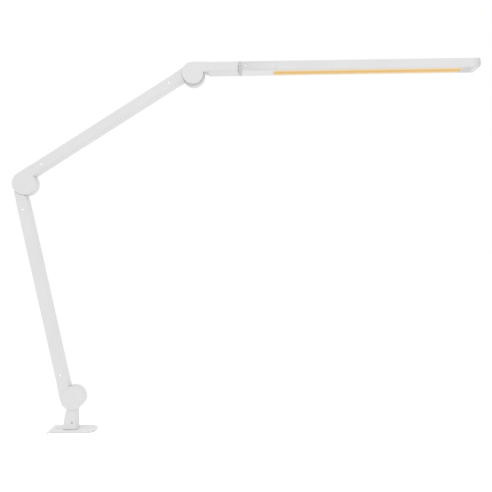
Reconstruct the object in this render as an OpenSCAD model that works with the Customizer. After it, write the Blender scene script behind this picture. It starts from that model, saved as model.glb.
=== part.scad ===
// Swing arm desk lamp.
// A thin fixing plate carries a post that swivels about Z. Two box-section arms and a slim LED bar
// follow it, joined by three round lap joints whose hinge axes lie along Y.
// The origin is on the swivel axis, in the plane of the plate's underside. X points along the bar.
//
// In every lap joint the outer piece owns the front half (Y < 0) and the hinge pin,
// and the inner piece owns the rear half (Y > 0) and the running bore. Beyond the other
// piece's disc, each is as deep as its tube. At the wrist the front half is as deep as the bar.
// Each arm is drawn in its own frame: X along its tube, Z towards the side its tube is offset to.

/* [Fixing plate] */
// Thickness of the steel plate
plate_thickness = 2; // [1.5:0.1:4]
// Reach of the flat plate to the left of the swivel axis
plate_left = 36.5; // [29:0.5:50]
// Reach of the flat plate to the right of the swivel axis
plate_right = 40; // [36:0.5:80]
// Depth of the plate, front to back
plate_depth = 44; // [34:1:70]
// Radius of the plate's two right-hand corners
plate_corner = 16; // [6:0.5:17]
// Inside radius of the bend that starts the lip
lip_bend = 1; // [0.6:0.1:3]
// Length of the flat lip after the bend
lip_length = 3.6; // [2:0.2:8]
// Angle by which the lip turns down
lip_angle = 45; // [20:1:80]
// Thickness of the pad under the plate
pad_thickness = 1; // [1:0.1:3]
// Distance from the plate's edge to the pad's edge
pad_inset = 0.5; // [0.5:0.1:4]
// Radius of the fixing holes
fixing_hole_radius = 2.2; // [1.6:0.1:2.8]
// Radius of the fixing holes' countersink at the plate's top
fixing_sink_radius = 3.4; // [3:0.1:5]

/* [Post] */
// Height of the lower hinge axis above the desk
base_axis_height = 56.8; // [54:0.2:90]
// Width of the post's column
post_width = 18.5; // [16:0.5:24]
// How far the column's middle lies to the left of the swivel axis
post_shift = 1.2; // [0:0.1:2]
// Depth of the post
post_depth = 24; // [20:0.5:27]
// Radius of the column's upright edges
post_corner = 6; // [2:0.5:7.5]
// Reach of the foot to the left of the swivel axis
foot_left = 16.5; // [13:0.5:18]
// Height at which the foot's flare meets the column
flare_top = 34; // [22:0.5:36]
// Height of the foot's upright part
foot_upright = 5; // [1:0.5:10]
// Radius of the swivel stud
stud_radius = 5; // [4:0.1:6]
// Height of the stud above the plate
stud_height = 20; // [18:0.5:22]
// Radius of the stud's countersunk head, flush with the plate's underside
stud_head_radius = 7; // [6.5:0.1:9]
// Thickness of the swivel washer
swivel_washer_thickness = 0.5; // [0.5:0.1:2]
// Height of the retaining groove's middle above the plate
stud_groove_height = 12; // [7:0.5:15]
// Radius of the set screw
set_screw_radius = 2; // [1.5:0.1:2.5]
// Height of the power inlet above the desk
inlet_height = 31; // [30:0.2:33]
// Radius of the power inlet's body
inlet_radius = 4.4; // [4:0.1:5]
// Length of the power inlet's body
inlet_length = 9; // [8:0.5:10]

/* [Lap joints] */
// Radius of the round discs at the base and the elbow
disc_radius = 20; // [18:0.2:28]
// Radius of the front disc at the wrist
wrist_radius = 18.2; // [17:0.2:20]
// Radius of the rear disc at the wrist
wrist_rear_radius = 19.4; // [17:0.2:20]
// Step down from the rim of the wrist's front disc to the hub behind it
hub_step = 3; // [1:0.2:3]
// Height of the notch under the bridge between the wrist and the neck tube
notch_height = 2.5; // [0:0.1:3]
// Depth of a whole joint, front face to back face
joint_depth = 27.5; // [25:0.5:40]
// Gap between the two halves of a joint
lap_gap = 0.8; // [0.8:0.1:2]
// Chamfer on the outer rim of each disc
rim_chamfer = 0.4; // [0.3:0.1:1.5]
// Radius of the hinge pins
pin_radius = 4; // [3.4:0.1:5]
// Thickness of the front wall left in front of a pin
pin_front_wall = 4; // [2:0.5:6]
// Radius of the threaded end of a pin
thread_radius = 3; // [2:0.1:3.2]
// Thickness of the hinge nuts
nut_thickness = 3.6; // [2.4:0.1:4]
// Width across the flats of the hinge nuts
nut_flats = 10; // [8:0.5:12]
// Height of a disc spring
spring_height = 1.2; // [0.9:0.1:1.6]
// Radius of a disc spring
spring_radius = 7.6; // [6:0.1:8]
// Thickness of the round covers on the backs of the joints
cap_thickness = 1.4; // [0.8:0.1:2]
// Radius of the round covers
cap_radius = 12; // [10:0.5:14]
// Depth of the wiring groove in each disc
wire_groove_depth = 5; // [4.4:0.2:5.6]

/* [Arms] */
// Lower arm, hinge axis to hinge axis
lower_arm_length = 379.2; // [260:0.2:480]
// Upper arm, hinge axis to hinge axis
upper_arm_length = 347; // [240:1:460]
// Direction of the lower arm, measured up from +X
lower_arm_angle = 102.8; // [95:0.1:115]
// Direction of the upper arm, measured up from +X
upper_arm_angle = 32.85; // [20:0.05:45]
// Height of the arm tubes
arm_height = 17.6; // [14:0.2:19]
// Depth of the arm tubes
arm_depth = 26.5; // [22:0.5:27]
// Wall of the arm tubes
arm_wall = 1.5; // [1:0.1:2]
// Outside corner radius of the arm tubes
arm_corner = 1.4; // [1.2:0.1:3]
// Distance from a hinge axis to the end of the tube
tube_setback = 27.5; // [26:0.5:40]
// How far the upper tube's edge lies inside the wrist disc's edge
wrist_inset = 0.9; // [0:0.1:3]
// Length of the plugs inside the tubes
plug_length = 25; // [22:0.5:50]
// How far the lower arm's upper connector is set in beside its tube
band_inset = 0.8; // [0.2:0.1:1.4]
// Distance from a hinge axis to the rivet beside it
rivet_setback = 43.5; // [41:0.5:46]
// Radius of the rivets' heads
rivet_head_radius = 2.1; // [1.9:0.1:2.6]
// Radius of the rivets' shanks
rivet_radius = 1.5; // [1:0.1:1.8]
// Length of the rivets
rivet_length = 6.2; // [4:0.1:6.6]
// Radius of the power lead
lead_radius = 1.5; // [1:0.1:1.8]

/* [Neck and bar] */
// Tilt of the bar above the horizontal
bar_angle = 0.7; // [-5:0.1:10]
// Distance from the wrist axis to the start of the neck tube
neck_start = 26; // [24:0.5:34]
// Distance from the wrist axis to the roll seam
seam_distance = 77.6; // [70:0.2:110]
// Height of the bar
bar_height = 16.2; // [15:0.1:18]
// Depth of the bar, front to back
bar_depth = 39; // [30:0.5:50]
// Outside corner radius of the bar
bar_corner = 2; // [1.8:0.1:3]
// Wall of the bar's housing
bar_wall = 2; // [1.8:0.1:2.4]
// Step down from the top of the wrist disc to the top of the bar
bar_step = 0.1; // [0:0.1:3]
// Length of the bar from the roll seam to the end cap
bar_length = 402.5; // [300:0.5:600]
// Length of the end cap
cap_length = 11; // [8:0.5:16]
// Bulge of the end cap's nose
nose_bulge = 3.5; // [2:0.1:6]
// Radius of the end cap's upright edges
nose_corner = 3.5; // [2:0.5:8]
// Length of the ribbed collar at the roll seam
collar_length = 6; // [4:0.5:10]
// Number of grooves round the collar
collar_grooves = 5; // [2:1:8]
// Depth of the collar's grooves
collar_groove_depth = 0.3; // [0.2:0.05:0.8]
// Radius of the roll spindle
spindle_radius = 4.6; // [4:0.1:5]
// Radius of the roll spindle's threaded end
spindle_thread_radius = 3.8; // [3.2:0.1:3.9]
// Radius of the hole along the roll spindle
spindle_hole_radius = 2.3; // [2:0.1:2.5]
// Gap at the roll seam
seam_gap = 0.6; // [0.5:0.1:1.5]
// Thickness of the strips that close the bar's underside
strip_thickness = 2; // [1.8:0.1:3]
// Distance from the roll seam to the start of the light window
control_length = 61; // [56:0.5:90]
// Distance from the end of the light window to the end cap
tip_length = 19; // [12:0.5:40]
// Thickness of the touch panel
panel_thickness = 1; // [0.6:0.1:1.2]
// Height of the touch panel
panel_height = 11.8; // [9:0.1:12.2]
// Radius of the touch button
button_radius = 3.6; // [2:0.1:4.2]
// Distance from the roll seam to the touch button
button_distance = 12.6; // [11:0.2:20]
// Distance from the housing's walls to the edges of the circuit boards
board_inset = 5; // [2:0.5:8]
// Thickness of the circuit boards
board_thickness = 1.6; // [0.8:0.1:2]
// Distance between two LEDs
led_pitch = 8; // [5:0.5:16]

/* [Clearances] */
// Radial clearance of a running fit
running_clearance = 0.05; // [0.02:0.01:0.1]
// Radial clearance of a fixed fit
seat_clearance = 0.02; // [0.01:0.01:0.05]
// Clearance between a plug or insert and what holds it
insert_clearance = 0.12; // [0.05:0.01:0.2]
// Clearance between faces of pieces that move past each other
moving_clearance = 0.35; // [0.3:0.05:1]

/* [Hidden] */
$fn = 96;
cut = 1;                                   // overshoot of every cutting shape
stack_clearance = 0.05;                    // axial clearance between stacked pieces

// Fixing plate and post
plate_z = pad_thickness;
plate_top = plate_z + plate_thickness;
post_left = -post_width / 2 - post_shift;
post_right = post_width / 2 - post_shift;
post_bottom = plate_top + swivel_washer_thickness + 2 * stack_clearance;
stud_top = plate_top + stud_height;
stud_groove_z = plate_top + stud_groove_height;
stud_groove_half = set_screw_radius + 0.4; // half the groove's width
stud_groove_radius = stud_radius - 1.4;
set_screw_tip_gap = 0.3;
set_screw_inset = 0.4;                     // how far the screw's end lies inside the post's face
set_screw_socket_depth = 2;
stud_head_height = 0.6 * plate_thickness;
fixing_sink_depth = 0.6 * plate_thickness;
bend_flats = 8;                            // short flats that make up the lip's bend
left_hole_x = -(plate_left + foot_left) / 2;
right_hole_x = (plate_right + post_right) / 2;
pad_hole_clearance = 0.6;
inlet_flange_radius = inlet_radius + 1.2;
inlet_flange_thickness = 1.2;
inlet_proud = 0.4;                         // how far the flange stands out of the post
inlet_socket_radius = 2.9;
inlet_pin_radius = 1;
inlet_pin_recess = 1.5;
inlet_back_wall = 2;
set_screw_socket_flats = 1.1 * set_screw_radius;
swivel_washer_inset = 0.5;                 // the washer's edge lies inside the column's sides
swivel_washer_radius = post_width / 2 - post_shift - swivel_washer_inset;

// Lap joints, along Y from the middle of the joint outwards
lap_half = lap_gap / 2;
joint_half = joint_depth / 2;
disc_thickness = joint_half - lap_half;
pin_tip = 0.6;
hardware_stack = spring_height + nut_thickness + pin_tip + 3 * stack_clearance;
bearing_land = disc_thickness - cap_thickness - hardware_stack;
pin_seat = disc_thickness - pin_front_wall;
bearing_face = lap_half + bearing_land;
nut_y = bearing_face + spring_height + 2 * stack_clearance;
pin_end = nut_y + nut_thickness + pin_tip;
pocket_radius = spring_radius + 0.6;
groove_wall = 0.9;                         // wall between the hardware pocket and the wiring groove
wire_groove_width = 5;
wire_groove_inner = pocket_radius + groove_wall;
wire_groove_outer = wire_groove_inner + wire_groove_width;
friction_washer_radius = wire_groove_inner - 0.6;
friction_washer_thickness = lap_gap - 2 * stack_clearance;
spring_plate_share = 0.55;                 // plate thickness of a disc spring, as a share of its height
lead_channel_radius = lead_radius + 0.3;
lead_offset = lap_half + wire_groove_depth / 2;
lead_end = 5;                              // the leads stop this far from a hinge axis
bridge_start = 10;                         // from here a connector is as deep as its tube

// Arms
arm_z = disc_radius - arm_height / 2;      // middle of the tube, in the arm's frame
arm_inner_corner = max(arm_corner - arm_wall, 0.3);
plug_height = arm_height - 2 * (arm_wall + insert_clearance);
plug_depth = arm_depth - 2 * (arm_wall + insert_clearance);
rivet_sink = rivet_head_radius - rivet_radius;
rivet_crown = 0.3;                         // height of a rivet's head above its hole
lead_straight = 4;                         // straight run of a lead past the end of a plug
wrist_shift = disc_radius - wrist_radius + wrist_inset;
upper_tilt = asin(wrist_shift / upper_arm_length);
upper_reach = upper_arm_length * cos(upper_tilt);

// Neck and bar, in the frame of the wrist: X along the bar
bar_top = wrist_radius - bar_step;
bar_bottom = bar_top - bar_height;
bar_z = (bar_top + bar_bottom) / 2;
bar_inner_corner = max(bar_corner - bar_wall, 0.3);
neck_plug_length = 18;
neck_end_plug_length = 11;
neck_inner_height = bar_height - 2 * bar_wall;
neck_inner_depth = bar_depth - 2 * bar_wall;
hub_front = joint_half + moving_clearance; // the front disc's rear face, just ahead of the upper arm
least_front_disc = 3;                      // least thickness of the wrist's front disc
knuckle_front = max(bar_depth / 2, hub_front + least_front_disc);
hub_radius = min(wrist_radius - hub_step, wrist_rear_radius);
bar_start = seam_distance + seam_gap;
housing_start = bar_start + collar_length;
cap_line = seam_distance + bar_length;
collar_plug_length = 9;
collar_groove_share = 0.45;                // width of a groove, as a share of the ribs' spacing
cap_plug_length = tip_length / 3;
collar_end = housing_start + collar_plug_length;
window_start = bar_start + control_length;
window_end = cap_line - tip_length;
strip_rib_height = 1.1;
strip_rib_depth = 0.8;
strip_rib_z = 0.6;                         // height of a strip's rib above its underside
strip_gap = 0.15;
strip_width = neck_inner_depth - 2 * insert_clearance;
cavity_floor = bar_bottom + strip_thickness;
cavity_ceiling = bar_top - bar_wall;
collar_plug_height = cavity_ceiling - cavity_floor - 2 * insert_clearance;
roll_nut_thickness = 3;
roll_nut_radius = collar_plug_height / 2 - 0.2;
roll_spring_height = 1;
roll_flange_radius = neck_inner_height / 2 - 0.4;
roll_flange_thickness = 1.4;
roll_flange_x = seam_distance - neck_end_plug_length - stack_clearance - roll_flange_thickness;
roll_nut_slot = [1.5, 1, 1.2];             // length along X, depth and width of a spanner slot
roll_thread_end = collar_end + roll_spring_height + roll_nut_thickness + 3 * stack_clearance + 0.5;
panel_start = housing_start + 0.6;
panel_end = window_start + 4;
button_x = bar_start + button_distance;
button_ring = 0.5;                         // width of the ring round the button's middle
control_board_start = roll_thread_end + 4;
control_board_end = window_start - 4;
board_width = neck_inner_depth - 2 * board_inset;
component_height = 2;
// Blocks on the control board: place along it and across it as shares of its size, and width
components = [[0.2, -0.2, 5], [0.55, 0.15, 7], [0.85, -0.1, 3.5]];
led_size = [3.5, 2.8, 0.8];
led_count = floor((window_end - window_start - 2 * led_pitch) / led_pitch) + 1;
led_first = (window_start + window_end - (led_count - 1) * led_pitch) / 2;

// Colours
white_paint = [0.90, 0.90, 0.89];
white_plastic = [0.87, 0.87, 0.86];
panel_grey = [0.82, 0.82, 0.81];
steel = [0.72, 0.73, 0.75];
nylon = [0.60, 0.60, 0.58];
foam_grey = [0.35, 0.35, 0.36];
board_green = [0.12, 0.40, 0.22];
led_amber = [0.96, 0.78, 0.36];
diffuser_warm = [0.96, 0.86, 0.62];
jacket_grey = [0.55, 0.55, 0.56];
inlet_black = [0.10, 0.10, 0.11];

// ---------- Frames ----------

module at_base_joint() {
    translate([0, 0, base_axis_height]) children();
}

module in_lower_arm() {
    at_base_joint() rotate([0, -lower_arm_angle, 0]) children();
}

module at_elbow() {
    in_lower_arm() translate([lower_arm_length, 0, 0]) rotate([0, lower_arm_angle, 0]) children();
}

module in_upper_arm() {
    at_elbow() rotate([0, upper_tilt - upper_arm_angle, 0]) children();
}

module at_wrist() {
    in_upper_arm() translate([upper_reach, 0, wrist_shift])
        rotate([0, upper_arm_angle - upper_tilt, 0]) children();
}

module in_bar() {
    at_wrist() rotate([0, -bar_angle, 0]) children();
}

// The far end of an arm, turned round so that the tube runs towards +X again
module at_far_end(reach, shift) {
    translate([reach, 0, shift]) mirror([1, 0, 0]) children();
}

// ---------- Shared shapes ----------

module y_cylinder(radius, y_start, y_end) {
    translate([0, y_start, 0]) rotate([-90, 0, 0]) cylinder(r = radius, h = y_end - y_start);
}

module x_cylinder(radius, x_start, x_end) {
    translate([x_start, 0, 0]) rotate([0, 90, 0]) cylinder(r = radius, h = x_end - x_start);
}

module y_ring(outer, inner, y_start, y_end) {
    difference() {
        y_cylinder(outer, y_start, y_end);
        y_cylinder(inner, y_start - cut, y_end + cut);
    }
}

// Hexagonal prism along Y, starting at Y = 0
module hex_prism(flats, length) {
    rotate([-90, 0, 0]) cylinder(r = flats / 2 / cos(30), h = length, $fn = 6);
}

module rounded_rect(width, height, radius) {
    square([width - 2 * radius, height], center = true);
    square([width, height - 2 * radius], center = true);
    for (side = [-1, 1], level = [-1, 1])
        translate([side * (width / 2 - radius), level * (height / 2 - radius)]) circle(radius);
}

// Prism along X with its section in the YZ plane
module x_prism(x_start, x_end, z_middle) {
    translate([x_start, 0, z_middle]) rotate([90, 0, 90]) linear_extrude(x_end - x_start) children();
}

module x_block(x_start, x_end, depth, height, radius, z_middle) {
    x_prism(x_start, x_end, z_middle) rounded_rect(depth, height, radius);
}

// Conical disc spring on the Z axis, resting on its outer edge at Z = 0
module disc_spring(outer, inner, height) {
    plate = height * spring_plate_share;
    rotate_extrude() polygon([[inner, height - plate], [outer, 0], [outer, plate], [inner, height]]);
}

// Wire through a list of points that runs mainly along X, with a many-sided section
module wire_run(points, radius) {
    sides = 12;
    rings = len(points);
    corners = [for (p = points, k = [0 : sides - 1])
        p + radius * [0, cos(k * 360 / sides), sin(k * 360 / sides)]];
    walls = [for (i = [0 : rings - 2], k = [0 : sides - 1])
        let (next = (k + 1) % sides)
            [i * sides + k, i * sides + next, (i + 1) * sides + next, (i + 1) * sides + k]];
    ends = [[for (k = [sides - 1 : -1 : 0]) k], [for (k = [0 : sides - 1]) (rings - 1) * sides + k]];
    polyhedron(corners, concat(walls, ends), convexity = 4);
}

// ---------- Lap joint ----------

// One half of a joint, drawn on the front side; the rear half is its mirror image
module on_side(side) {
    if (side > 0) mirror([0, 1, 0]) children();
    else children();
}

// Front half disc, from the front face to the mating face
module half_disc(radius, front) {
    translate([0, -front, 0]) rotate([-90, 0, 0])
        cylinder(r1 = radius - rim_chamfer, r2 = radius, h = rim_chamfer);
    y_cylinder(radius, rim_chamfer - front, -lap_half);
}

// Room for the other piece's disc, from this piece's mating face outwards
module partner_room(radius) {
    y_cylinder(radius + moving_clearance, -lap_half, joint_depth + bar_depth);
}

// Plan of a connector: front half from the axis on, full depth from bridge_start on.
// It narrows or widens from the joint's depth to the depth at its end.
module bridge_plan(end, front, depth) {
    polygon([[0, -front], [bridge_start, -front], [end, -depth / 2], [end, depth / 2],
        [bridge_start, front], [bridge_start, -lap_half], [0, -lap_half]]);
}

module wire_groove() {
    y_ring(wire_groove_outer, wire_groove_inner, -lap_half - wire_groove_depth, cut - lap_half);
}

// The half that holds the pin: a blind seat, open at the mating face
module pin_half_cuts() {
    wire_groove();
    y_cylinder(pin_radius + seat_clearance, -lap_half - pin_seat, cut - lap_half);
}

// The half that turns on the pin: running bore, hardware pocket and cover recess
module bore_half_cuts() {
    wire_groove();
    y_cylinder(pin_radius + running_clearance, -bearing_face - cut, cut - lap_half);
    y_cylinder(pocket_radius, -joint_half - cut, -bearing_face);
    y_cylinder(cap_radius, -joint_half - cut, -joint_half + cap_thickness);
}

module hinge_pin() {
    color(steel) {
        y_cylinder(pin_radius, -lap_half - pin_seat, bearing_face);
        y_cylinder(thread_radius, bearing_face, pin_end);
    }
}

module hinge_disc_spring() {
    color(steel) translate([0, bearing_face + stack_clearance, 0]) rotate([-90, 0, 0])
        disc_spring(spring_radius, thread_radius + insert_clearance, spring_height);
}

module hinge_nut() {
    color(steel) difference() {
        translate([0, nut_y, 0]) hex_prism(nut_flats, nut_thickness);
        y_cylinder(thread_radius + seat_clearance, nut_y - cut, nut_y + nut_thickness + cut);
    }
}

module joint_cover() {
    color(white_plastic) y_cylinder(cap_radius - insert_clearance,
        joint_half - cap_thickness + stack_clearance, joint_half);
}

module friction_washer() {
    color(nylon) y_ring(friction_washer_radius, pin_radius + insert_clearance,
        -friction_washer_thickness / 2, friction_washer_thickness / 2);
}

// ---------- Arms ----------

// Connector at one end of an arm: half disc, bridge and a plug inside the tube.
// side is -1 for the front half, which holds the pin, and 1 for the rear half, which turns on it.
// radius is that of its own disc and room that of the other piece's disc.
// shift is how far the hinge axis lies towards the tube's outer edge, and band is how far the
// bridge is set in beside the tube.
module arm_connector(side, radius, room, shift, band) {
    tube_z = arm_z - shift;
    height = arm_height - 2 * band;
    color(white_plastic) difference() {
        union() {
            on_side(side) {
                half_disc(radius, joint_half);
                difference() {
                    translate([0, 0, tube_z - height / 2]) linear_extrude(height)
                        bridge_plan(tube_setback, joint_half - band, arm_depth - 2 * band);
                    partner_room(room);
                }
            }
            x_block(tube_setback, tube_setback + plug_length, plug_depth, plug_height,
                arm_inner_corner, tube_z);
        }
        on_side(side) {
            if (side < 0) pin_half_cuts();
            else bore_half_cuts();
            translate([0, -lead_offset, tube_z])
                x_cylinder(lead_channel_radius, lead_end, tube_setback + plug_length + cut);
        }
        translate([rivet_setback, 0, tube_z])
            y_cylinder(rivet_radius + seat_clearance, -arm_depth / 2 - cut,
                rivet_length - arm_depth / 2 + insert_clearance);
    }
}

module arm_tube(reach) {
    color(white_paint) difference() {
        x_block(tube_setback, reach - tube_setback, arm_depth, arm_height, arm_corner, arm_z);
        x_block(tube_setback - cut, reach - tube_setback + cut, arm_depth - 2 * arm_wall,
            arm_height - 2 * arm_wall, arm_inner_corner, arm_z);
        for (x = [rivet_setback, reach - rivet_setback])
            translate([x, -arm_depth / 2, arm_z]) rivet_hole();
    }
}

// Countersunk hole through the front wall of a tube
module rivet_hole() {
    y_cylinder(rivet_radius + insert_clearance, -cut, arm_wall + cut);
    rotate([-90, 0, 0]) cylinder(r1 = rivet_head_radius + insert_clearance,
        r2 = rivet_radius + insert_clearance, h = rivet_sink);
}

// Rivet with a countersunk head and a low crown
module rivet() {
    rotate([-90, 0, 0]) {
        translate([0, 0, -rivet_crown])
            cylinder(r1 = rivet_head_radius - rivet_crown, r2 = rivet_head_radius, h = rivet_crown);
        cylinder(r1 = rivet_head_radius, r2 = rivet_radius, h = rivet_sink);
        cylinder(r = rivet_radius, h = rivet_length);
    }
}

module arm_rivets(reach) {
    color(steel) for (x = [rivet_setback, reach - rivet_setback])
        translate([x, -arm_depth / 2, arm_z]) rivet();
}

// Power lead from the groove of the front disc to the groove of the far rear disc
module arm_lead(reach) {
    bend = tube_setback + plug_length + lead_straight;
    color(jacket_grey) wire_run([[lead_end, -lead_offset, arm_z], [bend, -lead_offset, arm_z],
        [reach - bend, lead_offset, arm_z], [reach - lead_end, lead_offset, arm_z]], lead_radius);
}

// ---------- Fixing plate ----------

module plate_outline(inset) {
    right = plate_right - inset;
    half = plate_depth / 2 - inset;
    radius = plate_corner - inset;
    translate([inset - plate_left, -half]) square([plate_left + right - radius - inset, 2 * half]);
    translate([0, radius - half]) square([right, 2 * (half - radius)]);
    for (side = [-1, 1]) translate([right - radius, side * (half - radius)]) circle(radius);
}

// Point on the plate's bend, turned down from the flat by the given angle
function bend_point(radius, turn) = radius * [-sin(turn), cos(turn)];

// Section of the bend and the lip, in the plane of X and Z. The bend is a run of short flats.
module lip_section() {
    outer = lip_bend + plate_thickness;
    turns = [for (i = [0 : bend_flats]) i * lip_angle / bend_flats];
    run = lip_length * [-cos(lip_angle), -sin(lip_angle)];
    translate([-plate_left, plate_z - lip_bend]) polygon(concat(
        [for (turn = turns) bend_point(outer, turn)],
        [bend_point(outer, lip_angle) + run, bend_point(lip_bend, lip_angle) + run],
        [for (i = [bend_flats : -1 : 0]) bend_point(lip_bend, turns[i])]));
}

module lip() {
    translate([0, plate_depth / 2, 0]) rotate([90, 0, 0]) linear_extrude(plate_depth) lip_section();
}

module fixing_holes(radius, bottom, top) {
    for (x = [left_hole_x, right_hole_x])
        translate([x, 0, bottom - cut]) cylinder(r = radius, h = top - bottom + 2 * cut);
}

module base_plate() {
    color(white_paint) difference() {
        union() {
            translate([0, 0, plate_z]) linear_extrude(plate_thickness) plate_outline(0);
            lip();
        }
        fixing_holes(fixing_hole_radius, plate_z, plate_top);
        for (x = [left_hole_x, right_hole_x]) translate([x, 0, 0]) {
            translate([0, 0, plate_top - fixing_sink_depth])
                cylinder(r1 = fixing_hole_radius, r2 = fixing_sink_radius, h = fixing_sink_depth);
            cylinder_up(fixing_sink_radius, plate_top, plate_top + cut);
        }
        stud_shape(seat_clearance);
        cylinder_up(stud_head_radius + seat_clearance, plate_z - cut, plate_z);
    }
}

module base_pad() {
    color(foam_grey) difference() {
        linear_extrude(pad_thickness - stack_clearance) plate_outline(pad_inset);
        fixing_holes(fixing_hole_radius + pad_hole_clearance, 0, pad_thickness);
    }
}

// Stud with a countersunk head, larger all round by the given clearance
module stud_shape(clearance) {
    translate([0, 0, plate_z]) cylinder(r1 = stud_head_radius + clearance,
        r2 = stud_radius + clearance, h = stud_head_height);
    cylinder_up(stud_radius + clearance, plate_z, stud_top);
}

module swivel_stud() {
    color(steel) difference() {
        stud_shape(0);
        translate([0, 0, stud_groove_z - stud_groove_half]) difference() {
            cylinder(r = stud_radius + cut, h = 2 * stud_groove_half);
            translate([0, 0, -cut]) cylinder(r = stud_groove_radius, h = 2 * stud_groove_half + 2 * cut);
        }
    }
}

module cylinder_up(radius, z_start, z_end) {
    translate([0, 0, z_start]) cylinder(r = radius, h = z_end - z_start);
}

module swivel_washer() {
    color(nylon) translate([0, 0, plate_top + stack_clearance]) difference() {
        cylinder(r = swivel_washer_radius, h = swivel_washer_thickness);
        translate([0, 0, -cut]) cylinder(r = stud_radius + insert_clearance,
            h = swivel_washer_thickness + 2 * cut);
    }
}

// ---------- Post ----------

// Plan of the post between two places along X
module post_plan(x_start, x_end) {
    translate([(x_start + x_end) / 2, 0]) rounded_rect(x_end - x_start, post_depth, post_corner);
}

module post_foot() {
    intersection() {
        translate([0, 0, post_bottom]) linear_extrude(flare_top - post_bottom)
            post_plan(-foot_left, post_right);
        translate([0, post_depth, 0]) rotate([90, 0, 0]) linear_extrude(2 * post_depth)
            polygon([[-foot_left, 0], [post_right, 0], [post_right, flare_top],
                [post_left, flare_top], [-foot_left, post_bottom + foot_upright]]);
    }
}

module post() {
    color(white_paint) difference() {
        union() {
            post_foot();
            translate([0, 0, post_bottom]) linear_extrude(base_axis_height - post_bottom)
                post_plan(post_left, post_right);
            at_base_joint() on_side(1) half_disc(disc_radius, joint_half);
        }
        at_base_joint() {
            y_cylinder(disc_radius + moving_clearance, -joint_depth, lap_half);
            on_side(1) bore_half_cuts();
        }
        cylinder_up(stud_radius + running_clearance, 0, stud_top + insert_clearance);
        translate([0, 0, stud_groove_z])
            y_cylinder(set_screw_radius + seat_clearance, -post_depth, 0);
        translate([-post_shift, 0, inlet_height]) {
            y_cylinder(inlet_radius + insert_clearance,
                post_depth / 2 - inlet_length - insert_clearance, post_depth);
            y_cylinder(inlet_flange_radius + insert_clearance,
                post_depth / 2 - inlet_flange_thickness, post_depth);
        }
        translate([0, lead_offset, inlet_height]) cylinder_up(lead_channel_radius, 0,
            base_axis_height - inlet_height - (wire_groove_inner + wire_groove_outer) / 2);
    }
}

// Headless screw that holds the post down on the stud
module post_set_screw() {
    outer_end = set_screw_inset - post_depth / 2;
    color(steel) translate([0, 0, stud_groove_z]) difference() {
        y_cylinder(set_screw_radius, outer_end, -stud_groove_radius - set_screw_tip_gap);
        translate([0, outer_end - cut, 0]) hex_prism(set_screw_socket_flats, set_screw_socket_depth + cut);
    }
}

// Barrel socket for the power lead, facing the back
module power_inlet() {
    color(inlet_black) translate([-post_shift, post_depth / 2, inlet_height]) difference() {
        union() {
            y_cylinder(inlet_radius, -inlet_length, 0);
            y_cylinder(inlet_flange_radius, stack_clearance - inlet_flange_thickness, inlet_proud);
        }
        y_ring(inlet_socket_radius, inlet_pin_radius, inlet_back_wall - inlet_length, inlet_proud + cut);
        y_cylinder(inlet_socket_radius, -inlet_pin_recess, inlet_proud + cut);
    }
}

// ---------- Wrist, neck and roll joint ----------

// The front disc, the hub behind it, the bridge to the neck tube and a plug inside the tube
module wrist_knuckle() {
    color(white_plastic) difference() {
        union() {
            difference() {
                half_disc(wrist_radius, knuckle_front);
                y_ring(wrist_radius + cut, hub_radius, -hub_front, cut - lap_half);
            }
            difference() {
                translate([0, 0, bar_bottom]) linear_extrude(bar_height)
                    bridge_plan(neck_start, knuckle_front, bar_depth);
                partner_room(wrist_rear_radius);
                translate([-cut, -hub_front, bar_bottom - cut])
                    cube([neck_start + 2 * cut, hub_front + knuckle_front + cut, notch_height + cut]);
            }
            x_block(neck_start, neck_start + neck_plug_length, neck_inner_depth - 2 * insert_clearance,
                neck_inner_height - 2 * insert_clearance, bar_inner_corner, bar_z);
        }
        pin_half_cuts();
        translate([0, -lead_offset, bar_z])
            x_cylinder(lead_channel_radius, lead_end, neck_start + neck_plug_length + cut);
        neck_rivet_place() y_cylinder(rivet_radius + seat_clearance, -rivet_length - insert_clearance, cut);
    }
}

module neck_rivet_place() {
    translate([neck_start + neck_plug_length / 2, bar_depth / 2, bar_z]) children();
}

module neck_tube() {
    color(white_paint) difference() {
        x_block(neck_start, seam_distance, bar_depth, bar_height, bar_corner, bar_z);
        x_block(neck_start - cut, seam_distance + cut, neck_inner_depth, neck_inner_height,
            bar_inner_corner, bar_z);
        neck_rivet_place() mirror([0, 1, 0]) rivet_hole();
        neck_rivet_place() y_cylinder(rivet_radius + insert_clearance, -bar_wall - cut, cut);
    }
}

module neck_rivet() {
    color(steel) neck_rivet_place() mirror([0, 1, 0]) rivet();
}

module neck_end_plug() {
    color(white_plastic) difference() {
        x_block(seam_distance - neck_end_plug_length, seam_distance,
            neck_inner_depth - 2 * insert_clearance, neck_inner_height - 2 * insert_clearance,
            bar_inner_corner, bar_z);
        translate([0, 0, bar_z]) x_cylinder(spindle_radius + seat_clearance,
            seam_distance - neck_end_plug_length - cut, seam_distance + cut);
    }
}

module neck_lead() {
    color(jacket_grey) wire_run([[lead_end, -lead_offset, bar_z],
        [neck_start + neck_plug_length + lead_straight, -lead_offset, bar_z],
        [roll_flange_x - lead_straight, 0, bar_z], [roll_thread_end, 0, bar_z]], lead_radius);
}

// Hollow spindle: flange in the neck, shoulder through the seam, thread inside the bar
module roll_spindle() {
    color(steel) translate([0, 0, bar_z]) difference() {
        union() {
            x_cylinder(roll_flange_radius, roll_flange_x, roll_flange_x + roll_flange_thickness);
            x_cylinder(spindle_radius, roll_flange_x, collar_end);
            x_cylinder(spindle_thread_radius, roll_flange_x, roll_thread_end);
        }
        x_cylinder(spindle_hole_radius, roll_flange_x - cut, roll_thread_end + cut);
    }
}

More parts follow.
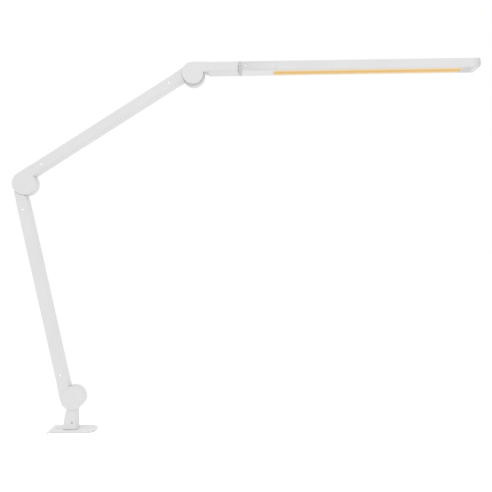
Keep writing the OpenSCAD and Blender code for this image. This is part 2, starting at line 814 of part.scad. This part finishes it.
module roll_washer() {
    color(nylon) translate([0, 0, bar_z]) difference() {
        x_cylinder(roll_flange_radius, seam_distance + stack_clearance, bar_start - stack_clearance);
        x_cylinder(spindle_radius + insert_clearance, seam_distance - cut, bar_start + cut);
    }
}

module roll_disc_spring() {
    color(steel) translate([collar_end + stack_clearance, 0, bar_z]) rotate([0, 90, 0])
        disc_spring(roll_nut_radius, spindle_thread_radius + insert_clearance, roll_spring_height);
}

// Round nut with two spanner slots
module roll_nut() {
    x = collar_end + roll_spring_height + 2 * stack_clearance;
    color(steel) difference() {
        translate([0, 0, bar_z]) x_cylinder(roll_nut_radius, x, x + roll_nut_thickness);
        translate([0, 0, bar_z])
            x_cylinder(spindle_thread_radius + seat_clearance, x - cut, x + roll_nut_thickness + cut);
        for (side = [-1, 1]) translate([x + roll_nut_thickness, side * roll_nut_radius, bar_z])
            cube(2 * roll_nut_slot - [0, 0, roll_nut_slot[2]], center = true);
    }
}

// ---------- Bar ----------

// Section of the bar's housing: a channel, open below, with a groove in each side for the strips
module housing_section() {
    groove_half = neck_inner_depth / 2 + strip_rib_depth + insert_clearance;
    difference() {
        rounded_rect(bar_depth, bar_height, bar_corner);
        translate([-neck_inner_depth / 2, -bar_height / 2 - cut])
            square([neck_inner_depth, bar_height - bar_wall + cut]);
        translate([-groove_half, strip_rib_z - insert_clearance - bar_height / 2])
            square([2 * groove_half, strip_rib_height + 2 * insert_clearance]);
    }
}

// Section of a strip that closes the underside
module strip_section() {
    translate([-strip_width / 2, -bar_height / 2]) square([strip_width, strip_thickness]);
    translate([-strip_width / 2 - strip_rib_depth, strip_rib_z - bar_height / 2])
        square([strip_width + 2 * strip_rib_depth, strip_rib_height]);
}

module underside_strip(x_start, x_end) {
    x_prism(x_start + strip_gap / 2, x_end - strip_gap / 2, bar_z) strip_section();
}

module bar_housing() {
    panel_pocket = panel_thickness + insert_clearance;
    color(white_paint) difference() {
        x_prism(housing_start, cap_line, bar_z) housing_section();
        translate([panel_start - insert_clearance, -bar_depth / 2 - cut,
                bar_z - panel_height / 2 - insert_clearance])
            cube([panel_end - panel_start + 2 * insert_clearance, panel_pocket + cut,
                panel_height + 2 * insert_clearance]);
    }
}

module roll_collar() {
    pitch = collar_length / (collar_grooves + 1 - collar_groove_share);
    rib = pitch * (1 - collar_groove_share);
    color(white_plastic) difference() {
        union() {
            x_block(bar_start, housing_start, bar_depth - 2 * collar_groove_depth,
                bar_height - 2 * collar_groove_depth, bar_corner, bar_z);
            for (i = [0 : collar_grooves])
                x_block(bar_start + i * pitch, bar_start + i * pitch + rib,
                    bar_depth, bar_height, bar_corner, bar_z);
            translate([housing_start - cut, -strip_width / 2, cavity_floor + insert_clearance])
                cube([collar_plug_length + cut, strip_width, collar_plug_height]);
        }
        translate([0, 0, bar_z])
            x_cylinder(spindle_radius + running_clearance, bar_start - cut, collar_end + cut);
    }
}

module touch_panel() {
    color(panel_grey) difference() {
        translate([panel_start, -bar_depth / 2, bar_z - panel_height / 2])
            cube([panel_end - panel_start, panel_thickness, panel_height]);
        translate([button_x, 0, bar_z]) y_cylinder(button_radius + insert_clearance,
            -bar_depth / 2 - cut, panel_thickness + cut - bar_depth / 2);
    }
}

// Touch button: a flat disc with a fine ring groove
module touch_button() {
    color(white_plastic) translate([button_x, 0, bar_z]) difference() {
        y_cylinder(button_radius, -bar_depth / 2, panel_thickness - bar_depth / 2);
        y_ring(button_radius - button_ring, button_radius - 2 * button_ring,
            -bar_depth / 2 - cut, panel_thickness / 2 - bar_depth / 2);
    }
}

module control_board() {
    color(board_green) {
        top = cavity_ceiling - stack_clearance;
        length = control_board_end - control_board_start;
        translate([control_board_start, -board_width / 2, top - board_thickness])
            cube([length, board_width, board_thickness]);
        for (block = components)
            translate([control_board_start + block[0] * length - block[2] / 2,
                    block[1] * board_width - block[2] / 2,
                    top - board_thickness - component_height])
                cube([block[2], block[2], component_height + board_thickness / 2]);
    }
}

module led_board() {
    color(white_plastic) translate([window_start, -board_width / 2,
            cavity_ceiling - board_thickness - stack_clearance])
        cube([window_end - window_start, board_width, board_thickness]);
}

module leds() {
    z = cavity_ceiling - board_thickness - 2 * stack_clearance - led_size[2];
    color(led_amber) for (i = [0 : led_count - 1])
        translate([led_first + i * led_pitch - led_size[0] / 2, -led_size[1] / 2, z]) cube(led_size);
}

module control_cover() {
    color(white_plastic) underside_strip(housing_start, window_start);
}

module diffuser() {
    color(diffuser_warm) underside_strip(window_start, window_end);
}

module tip_cover() {
    color(white_plastic) underside_strip(window_end, cap_line);
}

// End cap with a bulged nose and a plug inside the housing
module end_cap() {
    cap_end = cap_line + cap_length;
    nose_radius = (pow(bar_height / 2, 2) + pow(nose_bulge, 2)) / (2 * nose_bulge);
    plan_length = cap_length + 2 * nose_corner;
    color(white_plastic) union() {
        intersection() {
            x_block(cap_line + strip_gap, cap_end, bar_depth, bar_height, bar_corner, bar_z);
            translate([cap_end - plan_length / 2, 0, bar_bottom - cut])
                linear_extrude(bar_height + 2 * cut) rounded_rect(plan_length, bar_depth, nose_corner);
            union() {
                translate([cap_end - nose_radius, 0, bar_z])
                    y_cylinder(nose_radius, -bar_depth, bar_depth);
                translate([cap_line, -bar_depth, bar_bottom - cut])
                    cube([cap_length - nose_bulge, 2 * bar_depth, bar_height + 2 * cut]);
            }
        }
        translate([cap_line - cap_plug_length, -strip_width / 2, cavity_floor + insert_clearance])
            cube([cap_plug_length + cut, strip_width, collar_plug_height]);
    }
}

// ---------- Nodes ----------

base_plate();
base_pad();
swivel_stud();
swivel_washer();
post();
post_set_screw();
power_inlet();
at_base_joint() joint_cover();  // base_joint_cover
at_base_joint() friction_washer();  // base_friction_washer
in_lower_arm() arm_tube(lower_arm_length);  // lower_arm_tube
in_lower_arm() arm_connector(-1, disc_radius, disc_radius, 0, 0);  // lower_arm_foot
in_lower_arm() at_far_end(lower_arm_length, 0)  // lower_arm_head
        arm_connector(1, disc_radius, disc_radius, 0, band_inset);
in_lower_arm() arm_rivets(lower_arm_length);  // lower_arm_rivets
in_lower_arm() arm_lead(lower_arm_length);  // lower_arm_lead
at_base_joint() hinge_pin();  // base_hinge_pin
at_base_joint() hinge_disc_spring();  // base_disc_spring
at_base_joint() hinge_nut();  // base_hinge_nut
at_elbow() joint_cover();  // elbow_joint_cover
at_elbow() friction_washer();  // elbow_friction_washer
in_upper_arm() arm_tube(upper_reach);  // upper_arm_tube
in_upper_arm() arm_connector(-1, disc_radius, disc_radius, 0, 0);  // upper_arm_foot
in_upper_arm() at_far_end(upper_reach, wrist_shift)  // upper_arm_head
        arm_connector(1, wrist_rear_radius, wrist_radius, wrist_shift, 0);
in_upper_arm() arm_rivets(upper_reach);  // upper_arm_rivets
in_upper_arm() arm_lead(upper_reach);  // upper_arm_lead
at_elbow() hinge_pin();  // elbow_hinge_pin
at_elbow() hinge_disc_spring();  // elbow_disc_spring
at_elbow() hinge_nut();  // elbow_hinge_nut
at_wrist() joint_cover();  // wrist_joint_cover
at_wrist() friction_washer();  // wrist_friction_washer
in_bar() wrist_knuckle();
in_bar() neck_tube();
in_bar() neck_rivet();
in_bar() neck_end_plug();
in_bar() neck_lead();
at_wrist() hinge_pin();  // wrist_hinge_pin
at_wrist() hinge_disc_spring();  // wrist_disc_spring
at_wrist() hinge_nut();  // wrist_hinge_nut
in_bar() roll_spindle();
in_bar() roll_washer();
in_bar() roll_disc_spring();
in_bar() roll_nut();
in_bar() roll_collar();
in_bar() bar_housing();
in_bar() touch_panel();
in_bar() touch_button();
in_bar() control_board();
in_bar() control_cover();
in_bar() led_board();
in_bar() leds();
in_bar() diffuser();
in_bar() tip_cover();
in_bar() end_cap();
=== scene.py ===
import math

import bpy
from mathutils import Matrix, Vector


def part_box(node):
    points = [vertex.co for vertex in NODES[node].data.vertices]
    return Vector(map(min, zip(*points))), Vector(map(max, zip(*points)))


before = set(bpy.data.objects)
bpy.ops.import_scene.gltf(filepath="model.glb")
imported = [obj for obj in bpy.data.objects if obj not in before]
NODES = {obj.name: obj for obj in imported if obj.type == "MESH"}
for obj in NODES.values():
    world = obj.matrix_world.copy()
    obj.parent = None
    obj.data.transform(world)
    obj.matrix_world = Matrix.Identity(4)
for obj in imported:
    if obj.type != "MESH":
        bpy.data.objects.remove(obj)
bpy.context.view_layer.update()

MM = 0.001


# ---------- Materials ----------

NOISE_LOW, NOISE_HIGH = 0.35, 0.65  # noise rarely leaves this band, so tones are spread over it
BROAD_GRAIN = 9.0                   # scale of the slow change of tone over a surface
FINE_PLASTIC = 2500.0               # grain of the smoothest plastics
BUMP_HEIGHT = 0.02 * MM
SOFT_EDGE = 0.2 * MM                # edge radius of the smoothest plastics


class Shader:
    """A node material under construction."""

    def __init__(self, name):
        self.material = bpy.data.materials.new(name)
        self.material.use_nodes = True
        self.tree = self.material.node_tree
        self.tree.nodes.clear()
        self.output = self.tree.nodes.new("ShaderNodeOutputMaterial")

    def node(self, kind, **values):
        made = self.tree.nodes.new("ShaderNode" + kind)
        for key, value in values.items():
            setattr(made, key, value)
        return made

    def link(self, source, target):
        self.tree.links.new(source, target)

    def finish(self, shader):
        self.link(shader, self.output.inputs["Surface"])
        return self.material

    def position(self, axis):
        """Place along one axis of the object's own space, which moves with its body."""
        split = self.node("SeparateXYZ")
        self.link(self.node("TexCoord").outputs["Object"], split.inputs["Vector"])
        return split.outputs[axis]

    def noise(self, scale, detail=3.0, stretch=(1, 1, 1)):
        """Noise in the object's own space, which moves with its body."""
        mapping = self.node("Mapping")
        mapping.inputs["Scale"].default_value = stretch
        self.link(self.node("TexCoord").outputs["Object"], mapping.inputs["Vector"])
        noise = self.node("TexNoise")
        noise.inputs["Scale"].default_value = scale
        noise.inputs["Detail"].default_value = detail
        self.link(mapping.outputs["Vector"], noise.inputs["Vector"])
        return noise.outputs["Fac"]

    def ramp(self, factor, low, high, start=NOISE_LOW, end=NOISE_HIGH):
        """Colour that runs from low to high as the factor goes from start to end."""
        ramp = self.node("ValToRGB")
        ramp.color_ramp.elements[0].position = start
        ramp.color_ramp.elements[1].position = end
        ramp.color_ramp.elements[0].color = (*low, 1)
        ramp.color_ramp.elements[1].color = (*high, 1)
        self.link(factor, ramp.inputs["Fac"])
        return ramp.outputs["Color"]

    def spread(self, factor, low, high, start=NOISE_LOW, end=NOISE_HIGH):
        """Number that runs from low to high as the factor goes from start to end."""
        spread = self.node("MapRange")
        spread.inputs["From Min"].default_value = start
        spread.inputs["From Max"].default_value = end
        spread.inputs["To Min"].default_value = low
        spread.inputs["To Max"].default_value = high
        self.link(factor, spread.inputs["Value"])
        return spread.outputs["Result"]

    def surface_normal(self, factor, strength, height=BUMP_HEIGHT, edge=SOFT_EDGE):
        """Bumps over edges that are softened by the given radius."""
        bevel = self.node("Bevel", samples=6)
        bevel.inputs["Radius"].default_value = edge
        bump = self.node("Bump")
        bump.inputs["Strength"].default_value = strength
        bump.inputs["Distance"].default_value = height
        self.link(factor, bump.inputs["Height"])
        self.link(bevel.outputs["Normal"], bump.inputs["Normal"])
        return bump.outputs["Normal"]


def shade(colour, amount):
    return tuple(min(1.0, c * amount) for c in colour)


def finish_material(name, colour, roughness, metallic=0.0, variation=0.015, rough_spread=0.05,
                    grain=900.0, stretch=(1, 1, 1), bump=0.15, bump_height=BUMP_HEIGHT,
                    edge=0.35 * MM, shine=0.5):
    """A surface with a fine grain, slight changes of tone and softened edges."""
    s = Shader(name)
    surface = s.node("BsdfPrincipled")
    surface.inputs["Metallic"].default_value = metallic
    surface.inputs["Specular IOR Level"].default_value = shine
    fine = s.noise(grain, stretch=stretch)
    broad = s.noise(BROAD_GRAIN, detail=2.0)
    s.link(s.ramp(broad, shade(colour, 1 - variation), shade(colour, 1 + variation)),
           surface.inputs["Base Color"])
    s.link(s.spread(fine, roughness - rough_spread, roughness + rough_spread),
           surface.inputs["Roughness"])
    s.link(s.surface_normal(fine, bump, bump_height, edge), surface.inputs["Normal"])
    return s.finish(surface.outputs["BSDF"])


def fading_plastic(name, left_colour, right_colour, left, right):
    """Smooth plastic whose colour fades along the bar, between two distances from the post's axis;
    the fade is painted shade.
    """
    s = Shader(name)
    surface = s.node("BsdfPrincipled")
    along = s.spread(s.position("X"), 0.0, 1.0, left, right)
    s.link(s.ramp(along, left_colour, right_colour, 0.0, 1.0), surface.inputs["Base Color"])
    fine = s.noise(FINE_PLASTIC)
    s.link(s.spread(fine, 0.30, 0.38), surface.inputs["Roughness"])
    s.link(s.surface_normal(fine, 0.06), surface.inputs["Normal"])
    return s.finish(surface.outputs["BSDF"])


def lit_window(name, edge_colour, core_colour, glow, half_width):
    """Frosted strip lit from behind: deeper in colour along its middle, paler towards its sides."""
    s = Shader(name)
    surface = s.node("BsdfPrincipled")
    surface.inputs["Specular IOR Level"].default_value = 0.1
    side = s.node("Math", operation="ABSOLUTE")
    s.link(s.position("Y"), side.inputs[0])
    across = s.spread(side.outputs["Value"], 0.0, 1.0, 0.0, half_width)
    colour = s.ramp(across, core_colour, edge_colour, 0.15, 0.95)
    s.link(colour, surface.inputs["Base Color"])
    s.link(colour, surface.inputs["Emission Color"])
    surface.inputs["Emission Strength"].default_value = glow
    fine = s.noise(FINE_PLASTIC)
    s.link(s.spread(fine, 0.38, 0.52), surface.inputs["Roughness"])
    s.link(s.surface_normal(fine, 0.15), surface.inputs["Normal"])
    return s.finish(surface.outputs["BSDF"])


WHITE = (0.755, 0.755, 0.755)
COATED_GRAIN = 1500.0
MOULDED_GRAIN = 2200.0
PANEL_PAINTED_SHADE = (292 * MM, 345 * MM)   # painted shade on the touch panel: where it is darkest, next to the collar, and where it has gone
CAP_PAINTED_SHADE = (688 * MM, 696 * MM)     # painted shade on the end cap's nose: where it starts and where it is darkest

powder_coat = finish_material("powder_coat", WHITE, 0.48, grain=COATED_GRAIN, bump=0.12)
cast_coat = finish_material("cast_coat", WHITE, 0.52, grain=1100.0, edge=0.5 * MM)
# painted light: the base plate's white is lifted above the other coats to offset the shade that
# falls on its top around the post
plate_coat_painted_light = finish_material("plate_coat_painted_light", (0.80, 0.80, 0.80), 0.45, grain=COATED_GRAIN, bump=0.12)
moulded_white = finish_material("moulded_white", (0.75, 0.75, 0.75), 0.42, grain=MOULDED_GRAIN,
                                bump=0.1)
# lit and shaded copies of one cover plastic: the control cover's white is lifted as painted light on
# its underside, and the tip cover's darker grey is painted shade on the underside of the bar's tip;
# the tip cover's lower shine is its real matt finish
cover_white_lit = finish_material("cover_white_lit", (0.79, 0.79, 0.79), 0.45, grain=MOULDED_GRAIN, bump=0.1)
cover_matt_shaded = finish_material("cover_matt_shaded", (0.66, 0.66, 0.66), 0.6, grain=MOULDED_GRAIN, bump=0.1,
                             shine=0.2)
# painted shade: the roll collar's darker grey stands in for the shade in the grooves between its
# ribs
collar_grooves_shaded = finish_material("collar_grooves_shaded", (0.68, 0.68, 0.68), 0.42, grain=MOULDED_GRAIN, bump=0.1)
button_white = finish_material("button_white", (0.80, 0.80, 0.80), 0.3, grain=FINE_PLASTIC,
                               bump=0.05, edge=SOFT_EDGE)
# painted shade: the touch panel is darker next to the roll collar and fades to the coat's white
# further along
touch_grey = fading_plastic("touch_grey", (0.685, 0.685, 0.69), WHITE, *PANEL_PAINTED_SHADE)
# painted shade: the end cap darkens towards its nose
end_cap_shaded_white = fading_plastic("end_cap_shaded_white", WHITE, (0.60, 0.60, 0.60), *CAP_PAINTED_SHADE)
plated_steel = finish_material("plated_steel", (0.78, 0.79, 0.81), 0.24, metallic=1.0,
                               rough_spread=0.08, grain=500.0, stretch=(1, 6, 1), bump=0.08,
                               edge=0.15 * MM)
dull_steel = finish_material("dull_steel", (0.58, 0.58, 0.59), 0.4, metallic=1.0, grain=800.0,
                             bump=0.08, edge=0.15 * MM)
rivet_bright = finish_material("rivet_bright", (0.94, 0.94, 0.95), 0.2, metallic=1.0,
                               variation=0.01, grain=1500.0, bump=0.05, edge=0.1 * MM)
nylon = finish_material("nylon", (0.80, 0.80, 0.78), 0.5, grain=2000.0)
pad_foam = finish_material("pad_foam", (0.62, 0.62, 0.61), 0.85, variation=0.06, grain=1800.0,
                           bump=0.7, bump_height=0.08 * MM)
inlet_black = finish_material("inlet_black", (0.03, 0.03, 0.035), 0.4, variation=0.1, grain=2000.0)
lead_jacket = finish_material("lead_jacket", (0.20, 0.20, 0.21), 0.55, variation=0.05, grain=1500.0)
circuit_board = finish_material("circuit_board", (0.05, 0.25, 0.12), 0.4, variation=0.1, grain=800.0)
board_white = finish_material("board_white", (0.82, 0.82, 0.80), 0.4, grain=1500.0)
phosphor = finish_material("phosphor", (0.93, 0.70, 0.20), 0.4, variation=0.04, grain=1500.0)
warm_window = lit_window("warm_window", edge_colour=(0.72, 0.60, 0.42),
                         core_colour=(0.64, 0.38, 0.09), glow=0.25, half_width=16 * MM)

SURFACES = {
    powder_coat: ["lower_arm_tube", "upper_arm_tube", "neck_tube", "bar_housing", "post"],
    cast_coat: ["lower_arm_foot", "lower_arm_head", "upper_arm_foot", "upper_arm_head",
                "wrist_knuckle"],
    plate_coat_painted_light: ["base_plate"],
    moulded_white: ["base_joint_cover", "elbow_joint_cover", "wrist_joint_cover", "neck_end_plug"],
    collar_grooves_shaded: ["roll_collar"],
    end_cap_shaded_white: ["end_cap"],
    cover_white_lit: ["control_cover"],
    cover_matt_shaded: ["tip_cover"],
    touch_grey: ["touch_panel"],
    button_white: ["touch_button"],
    dull_steel: ["post_set_screw"],
    plated_steel: ["swivel_stud", "base_hinge_pin", "base_hinge_nut", "elbow_hinge_pin",
                   "elbow_hinge_nut", "wrist_hinge_pin", "wrist_hinge_nut", "roll_spindle",
                   "roll_nut", "base_disc_spring", "elbow_disc_spring", "wrist_disc_spring",
                   "roll_disc_spring"],
    nylon: ["swivel_washer", "base_friction_washer", "elbow_friction_washer",
            "wrist_friction_washer", "roll_washer"],
    pad_foam: ["base_pad"],
    rivet_bright: ["lower_arm_rivets", "upper_arm_rivets", "neck_rivet"],
    inlet_black: ["power_inlet"],
    lead_jacket: ["lower_arm_lead", "upper_arm_lead", "neck_lead"],
    circuit_board: ["control_board"],
    board_white: ["led_board"],
    phosphor: ["leds"],
    warm_window: ["diffuser"],
}
for material, names in SURFACES.items():
    for name in names:
        NODES[name].data.materials.clear()
        NODES[name].data.materials.append(material)


# ---------- Studio ----------

FLOOR_GAP = 0.05 * MM               # the desk's top lies this far below the pad
FLOOR_SIZE = 60.0
FLOOR_WHITE = 0.97                  # the floor as it lights the lamp from below
FLOOR_CATCHER = 0.42                # share of the seen floor's white that shadows can darken
FLOOR_GLOW = 0.78                   # share of it that shadows don't reach
WORLD_LIGHT = 0.88                  # strength of the surroundings as a light
RIGHT_SIDE = 1.20                   # times that strength straight from the right
RIGHT_START = 0.1                   # how far to the right of straight ahead that starts, 0 to 1
KEY_LIGHT = 0.40                    # irradiance from the key lamp
KEY_SPREAD = 50                     # degrees, which keeps its shadows soft
KEY_TILT, KEY_TURN = 52, -32        # degrees: from the front, above and a little to the left


def seen_directly(tree):
    """1 for rays from the camera, and for those that reach it by a mirror or through glass."""
    path = tree.nodes.new("ShaderNodeLightPath")
    total = path.outputs["Is Camera Ray"]
    for name in ("Is Glossy Ray", "Is Transmission Ray"):
        most = tree.nodes.new("ShaderNodeMath")
        most.operation = "MAXIMUM"
        tree.links.new(total, most.inputs[0])
        tree.links.new(path.outputs[name], most.inputs[1])
        total = most.outputs["Value"]
    return total


def build_world():
    """Soft even light, a little stronger from the right, behind a white backdrop."""
    world = bpy.data.worlds.new("studio")
    bpy.context.scene.world = world
    world.use_nodes = True
    tree = world.node_tree
    tree.nodes.clear()
    lighting = tree.nodes.new("ShaderNodeBackground")
    lighting.inputs["Strength"].default_value = WORLD_LIGHT
    backdrop = tree.nodes.new("ShaderNodeBackground")
    backdrop.inputs["Strength"].default_value = 1.0
    backdrop.inputs["Color"].default_value = (1, 1, 1, 1)
    direction = tree.nodes.new("ShaderNodeSeparateXYZ")
    place = tree.nodes.new("ShaderNodeTexCoord")
    tree.links.new(place.outputs["Generated"], direction.inputs["Vector"])
    rise = tree.nodes.new("ShaderNodeMapRange")
    rise.inputs["From Min"].default_value = RIGHT_START
    rise.inputs["To Min"].default_value = 1.0
    rise.inputs["To Max"].default_value = RIGHT_SIDE
    tree.links.new(direction.outputs["X"], rise.inputs["Value"])
    tree.links.new(rise.outputs["Result"], lighting.inputs["Color"])
    mix = tree.nodes.new("ShaderNodeMixShader")
    tree.links.new(seen_directly(tree), mix.inputs["Fac"])
    tree.links.new(lighting.outputs["Background"], mix.inputs[1])
    tree.links.new(backdrop.outputs["Background"], mix.inputs[2])
    output = tree.nodes.new("ShaderNodeOutputWorld")
    tree.links.new(mix.outputs["Shader"], output.inputs["Surface"])


def build_floor():
    """The top of a desk that ends at the pad's left edge, where the plate's lip turns down."""
    half = FLOOR_SIZE / 2
    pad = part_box("base_pad")[0]
    edge, level = pad.x, pad.z - FLOOR_GAP
    mesh = bpy.data.meshes.new("floor")
    mesh.from_pydata([(edge, -half, level), (half, -half, level), (half, half, level),
                      (edge, half, level)], [], [(0, 1, 2, 3)])
    floor = bpy.data.objects.new("floor", mesh)
    bpy.context.scene.collection.objects.link(floor)
    s = Shader("floor")
    matt = s.node("BsdfDiffuse")
    matt.inputs["Color"].default_value = (FLOOR_WHITE, FLOOR_WHITE, FLOOR_WHITE, 1)
    catcher = s.node("BsdfDiffuse")
    catcher.inputs["Color"].default_value = (FLOOR_CATCHER, FLOOR_CATCHER, FLOOR_CATCHER, 1)
    glow = s.node("Emission")
    glow.inputs["Strength"].default_value = FLOOR_GLOW
    both = s.node("AddShader")
    s.link(catcher.outputs["BSDF"], both.inputs[0])
    s.link(glow.outputs["Emission"], both.inputs[1])
    choose = s.node("MixShader")
    s.link(seen_directly(s.tree), choose.inputs["Fac"])
    s.link(matt.outputs["BSDF"], choose.inputs[1])
    s.link(both.outputs["Shader"], choose.inputs[2])
    floor.data.materials.append(s.finish(choose.outputs["Shader"]))


def build_key():
    data = bpy.data.lights.new("key", "SUN")
    data.energy = KEY_LIGHT
    data.angle = math.radians(KEY_SPREAD)
    key = bpy.data.objects.new("key", data)
    key.rotation_euler = (math.radians(KEY_TILT), 0, math.radians(KEY_TURN))
    bpy.context.scene.collection.objects.link(key)


build_world()
build_floor()
build_key()


# ---------- Camera ----------

CAMERA_PLACE = (313.1 * MM, -1182.8 * MM, 313.3 * MM)
CAMERA_TILT, CAMERA_TURN = 90.26, 0.70      # degrees; a tilt of 90 looks level
LENS, SENSOR = 50, 36                       # millimetres


def build_camera():
    data = bpy.data.cameras.new("camera")
    data.lens = LENS
    data.sensor_width = SENSOR
    data.clip_start = 0.05
    data.clip_end = 200
    camera = bpy.data.objects.new("camera", data)
    camera.location = CAMERA_PLACE
    camera.rotation_euler = (math.radians(CAMERA_TILT), 0, math.radians(CAMERA_TURN))
    bpy.context.scene.collection.objects.link(camera)
    bpy.context.scene.camera = camera


build_camera()
bpy.context.scene.view_settings.view_transform = "Standard"
